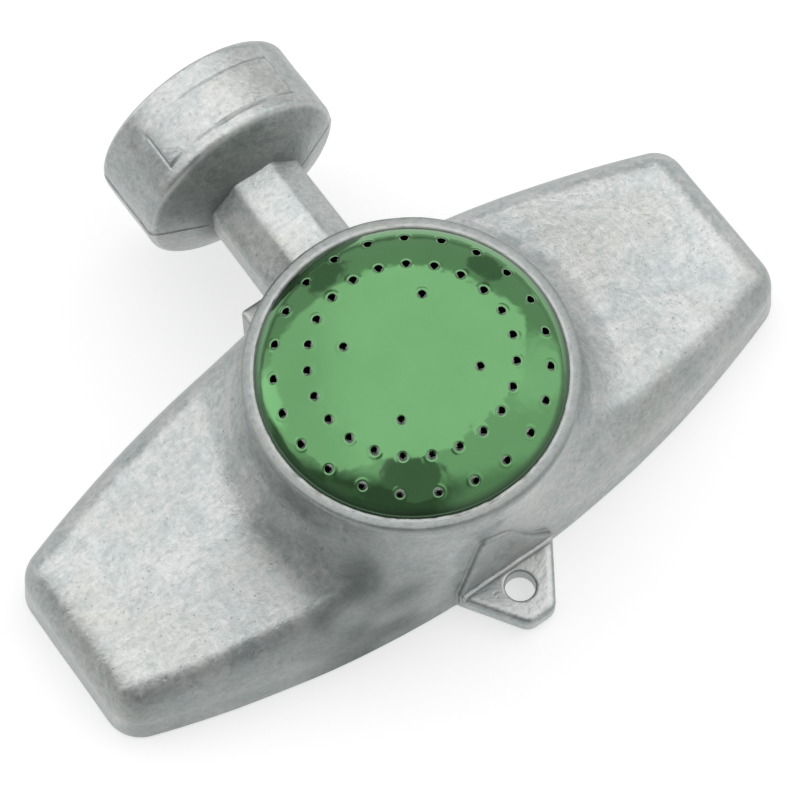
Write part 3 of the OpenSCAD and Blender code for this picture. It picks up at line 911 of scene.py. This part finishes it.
# raised rim round each punched hole, falling into it
near = which >= 0
hs = np.array([(r, s, a) for r, s, a in holes])
Hc = np.stack([hs[:, 0] * np.cos(hs[:, 2]), hs[:, 0] * np.sin(hs[:, 2]), np.interp(hs[:, 1], ss, zz)], 1)
away = np.zeros_like(P0)
away[near] = P0[near] - Hc[which[near]]
away -= (away * N0).sum(1)[:, None] * N0
away /= np.maximum(np.linalg.norm(away, axis=1, keepdims=True), 1e-9)
uneven = 0.75 + 0.5 * _lattice[which % 32, (which * 7) % 32, 3]
bulge = lambda q: 0.030 * np.exp(-((q - 1.0) / 0.24) ** 2) - 0.06 * np.exp(-((q - 0.66) / 0.10) ** 2)
lift = np.where(near, bulge(rho) * uneven, 0)
slope = np.where(near, (bulge(rho + 0.01) - bulge(rho - 0.01)) / 0.02 * uneven, 0)
P1 = P0 + lift[:, None] * N0
N1 = N0 - slope[:, None] * away
N1 /= np.linalg.norm(N1, axis=1, keepdims=True)
inner_v = P0 - SHEET * N0
inner_r = np.hypot(inner_v[:, 0], inner_v[:, 1])
inner_v[:, 2] = np.minimum(inner_v[:, 2], 60)
funnel = near & (rho <= HOLE + 1e-6)
inner_v[funnel] -= away[funnel] * 0.24
nv = len(P1)
DV = np.concatenate([P1, inner_v])
DN = np.concatenate([N1, -N0])
DF = np.concatenate([tri, tri[:, ::-1] + nv]).tolist()
mat_id = [0] * len(DF)
wall_v, wall_n = [], []
loops = {}
for i in np.where(hole_v)[0]:
    loops.setdefault(int(which[i]), []).append(int(i))
walls = []
extra_edge = []
for k, ids in loops.items():
    c, n0 = Hc[k], N0[ids].mean(0)
    n0 /= np.linalg.norm(n0)
    e1 = P0[ids[0]] - c
    e1 -= (e1 @ n0) * n0
    e1 /= np.linalg.norm(e1)
    e2 = np.cross(n0, e1)
    ang = np.arctan2((P0[ids] - c) @ e2, (P0[ids] - c) @ e1)
    ids = [ids[i] for i in np.argsort(ang)]
    m = len(ids)
    start = 2 * nv + len(wall_v)
    toward = [-(P0[i] - c - ((P0[i] - c) @ n0) * n0) for i in ids]
    toward = [v / np.linalg.norm(v) for v in toward]
    for level in range(4):
        f = level / 3
        for q, i in enumerate(ids):
            wall_v.append((DV[i] * (1 - f) + DV[i + nv] * f) + toward[q] * 0.24 * f ** 0.8)
            wall_n.append(toward[q] * 0.96 + n0 * 0.28)
    for level in range(3):
        for q in range(m):
            a, b = start + level * m + q, start + level * m + (q + 1) % m
            walls.append([a, a + m, b + m, b])
DF += walls
mat_id += [1] * len(walls)
DV = np.concatenate([DV, np.array(wall_v)])
DN = np.concatenate([DN, np.array(wall_n)])
# bare metal at the punched rims and on the hole walls
bare_edge = np.concatenate([np.where(near, smooth(0.82, 0.735, rho), 0), np.zeros(nv), np.ones(len(wall_v))])
# painted shade and painted dark reflection: the outer zone of the sheet, where it runs into the lip, darkened
rim = 0.85 * smooth(s_at(22.9), s_at(24.2), sv)
rim = np.concatenate([rim, rim, np.zeros(len(wall_v))])
dome = make("spray_dome_sheet", DV, DF, [GREEN, BARE], DN, {"edge": bare_edge, "rim": rim}, mat_id)

# =============================================================================================
# Seals
# =============================================================================================


def ring(name, prof, radius, step, place, mat, seed, dense_n=240, size=0.04):
    q = dense(soften(prof, radius, 4), step)
    t = np.linspace(0, 2 * math.pi, dense_n, endpoint=False)
    R = np.repeat(q[:, 0][:, None], dense_n, 1)
    H = np.repeat(q[:, 1][:, None], dense_n, 1)
    T = np.repeat(t[None, :], len(q), 0)
    R = R + size * lumps(R * np.cos(T), R * np.sin(T), H, 3, seed)
    H = H + 0.5 * size * lumps(R * np.cos(T), R * np.sin(T), H, 4, seed + 1)
    P = place(R * np.cos(T), R * np.sin(T), H).reshape(-1, 3)
    F = ring_faces(len(q), dense_n, True)
    c = P[F].mean(1)
    d = np.cross(P[F[:, 2]] - P[F[:, 0]], P[F[:, 3]] - P[F[:, 1]])
    if (d * (c - P.mean(0))).sum() < 0:
        F = F[:, ::-1]
    z = np.zeros(len(P))
    return make(name, P, F, [mat], area_normals(P, F), {"painted_shade": z, "edge": z})


gasket = ring("gasket_ring", [(23.1, 31.72), (25.22, 31.72), (25.22, 32.86), (24.3, 32.9), (23.1, 32.86)], [0.25, 0.25, 0.25, 0, 0.25], 0.3,
              lambda a, b, h: np.stack([a, b, h], 2), RUBBER, 20, size=0.012)
washer = ring("washer_ring", [(7.95, 0.0), (12.65, 0.0), (12.65, 2.9), (11.6, 3.0), (10.9, 2.82), (9.7, 2.82), (9.0, 3.0), (7.95, 2.9)],
              [0.3, 0.3, 0.3, 0.3, 0.3, 0.3, 0.3, 0.3], 0.3, lambda a, b, h: np.stack([a, SEAT_Y + 0.03 + h, INLET_Z + b], 2), RUBBER, 24, size=0.02)

for o, nodes, s in ((body, ["body_casting"], "cast_zinc"), (hollows, ["body_casting"], "cast_zinc"), (bell, ["body_casting"], "cast_zinc"), (lip, ["body_casting"], "cast_zinc"), (ledge, ["body_casting"], "cast_zinc"),
                    (dome, ["spray_dome"], "green_aluminium"), (gasket, ["dome_gasket"], "black_rubber"), (washer, ["hose_washer"], "black_rubber")):
    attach(o, "root")
    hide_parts(*nodes)

# =============================================================================================
# Floor, light and camera
# =============================================================================================

n = 96
fv = [(0, 0, -0.0003)] + [(8 * math.cos(2 * math.pi * i / n), 8 * math.sin(2 * math.pi * i / n), -0.0003) for i in range(n)]
me = bpy.data.meshes.new("floor")
me.from_pydata(fv, [], [(0, i + 1, (i + 1) % n + 1) for i in range(n)])
m, t = material("floor_white")
sp = t.noise(t.millimetres(), 0.02, 3)
t.surface(Base_Color=t.mix(sp, (0.60, 0.605, 0.61), (0.64, 0.64, 0.64)), Roughness=0.9, Emission_Color=(1, 1, 1), Emission_Strength=0.52)
me.materials.append(m)
floor = bpy.data.objects.new("floor", me)
bpy.context.scene.collection.objects.link(floor)

# Studio: one large overhead softbox with a dimmer surround, seen from the camera's side
AZ = 35.6
w = bpy.data.worlds.new("studio")
bpy.context.scene.world = w
w.use_nodes = True
t = Tree(w.node_tree)
tc = t.nt.nodes.new("ShaderNodeTexCoord")
rot = t.nt.nodes.new("ShaderNodeVectorRotate")
rot.rotation_type = "Z_AXIS"
rot.inputs["Angle"].default_value = math.radians(AZ)
t.nt.links.new(tc.outputs["Generated"], rot.inputs["Vector"])
sep = t.nt.nodes.new("ShaderNodeSeparateXYZ")
t.nt.links.new(rot.outputs[0], sep.inputs[0])
X, Y, Z = sep.outputs[0], sep.outputs[1], sep.outputs[2]


def over(base, mask, value):
    """base, and value where mask is 1"""
    return t.add(t.mul(base, t.sub(1.0, mask)), t.mul(mask, value))


def spot(cx, cy, rx, ry, soft):
    dx = t.mul(t.sub(X, cx), 1 / rx)
    dy = t.mul(t.sub(Y, cy), 1 / ry)
    d = t.maths("SQRT", t.add(t.mul(dx, dx), t.mul(dy, dy)))
    return t.step(d, 1 + soft, 1 - soft)


def both(*ms):
    out = ms[0]
    for q in ms[1:]:
        out = t.mul(out, q)
    return out


S = 0.015
level = t.step(Y, 0.35, 0.62, 0.70, 0.46)
level = over(level, both(t.step(X, -0.1, -0.5), t.step(Y, 0.5, 0.2)), 0.62)
level = over(level, t.step(Y, -0.25, -0.52), t.step(X, 0.15, 0.5, 0.13, 0.42))
level = over(level, spot(0.72, 0.30, 0.26, 0.20, 0.35), 0.90)
level = over(level, spot(0.02, -0.42, 0.18, 0.34, 0.07), 0.23)
level = over(level, spot(-0.56, -0.67, 0.15, 0.12, 0.20), 0.18)
level = over(level, spot(-0.40, 0.82, 0.105, 0.10, 0.12), 0.22)
level = over(level, spot(0.34, 0.84, 0.095, 0.085, 0.12), 0.22)
key = both(
    t.step(t.sub(t.sub(0.77, t.mul(t.mul(X, X), 0.55)), Y), -S, S),
    t.step(t.sub(0.53, X), -S, S),
    t.step(t.add(t.sub(Y, t.mul(X, 0.95)), 0.225), -S, S),
    t.step(t.add(t.sub(Y, t.mul(t.lesser(t.add(X, 0.1), 0.0), 0.66)), 0.13), -S, S),
    t.step(t.add(t.add(Y, t.mul(t.lesser(t.add(X, 0.5), 0.0), 0.55)), 0.38), -S, S),
    t.step(t.add(X, 0.93), -0.06, 0.06),
)
level = over(level, key, t.step(X, -0.12, -0.50, 1.0, 0.82))
level = over(level, both(t.step(Z, 0.42, 0.28), t.step(X, 0.1, -0.2), t.step(Y, 0.2, -0.1)), 0.18)
low = t.step(Z, 0.26, 0.14)
level = over(level, t.mul(low, t.step(X, 0.4, 0.0, 0.35, 0.85)), 0.20)
level = over(level, spot(-0.88, 0.15, 0.12, 0.20, 0.3), 1.15)
level = over(level, t.step(Z, 0.11, 0.09), 0.45)
level = t.mul(level, 1.42)
bg = t.nt.nodes.new("ShaderNodeBackground")
comb = t.nt.nodes.new("ShaderNodeCombineColor")
t.nt.links.new(t.mul(level, 1.0), comb.inputs[0])
t.nt.links.new(t.mul(level, 1.0), comb.inputs[1])
t.nt.links.new(t.mul(level, 0.995), comb.inputs[2])
t.nt.links.new(comb.outputs[0], bg.inputs[0])
bg.inputs[1].default_value = 1.0
wo = t.nt.nodes.new("ShaderNodeOutputWorld")
t.nt.links.new(bg.outputs[0], wo.inputs[0])

# Camera at the photo's angle
a, el, dist = math.radians(35.6), math.radians(68.0), 500.0
R_ = np.array([[math.cos(a), -math.sin(a), 0], [math.sin(a), math.cos(a), 0], [0, 0, 1]])
C_ = np.array([[1, 0, 0], [0, math.sin(el), math.cos(el)], [0, -math.cos(el), math.sin(el)]])
M_ = C_ @ R_
scale = 6.46
t_ = np.array([(411.6 - 400) / scale, -(372.9 - 400) / scale, 0]) - M_ @ np.array([0, 0, 34.15])
pos = M_.T @ (np.array([0, 0, dist]) - t_)
cam_data = bpy.data.cameras.new("camera")
cam = bpy.data.objects.new("camera", cam_data)
bpy.context.scene.collection.objects.link(cam)
cam_data.sensor_width = 36.0
cam_data.lens = scale * dist / 800 * 36.0
cam_data.clip_start, cam_data.clip_end = 0.02, 50
world = Matrix(M_.T.tolist()).to_4x4()
world.translation = Vector((pos * MM).tolist())
cam.matrix_world = world
bpy.context.scene.camera = cam
bpy.context.scene.view_settings.view_transform = "Standard"
bpy.context.scene.view_settings.look = "None"
bpy.context.scene.view_settings.exposure = 0.0
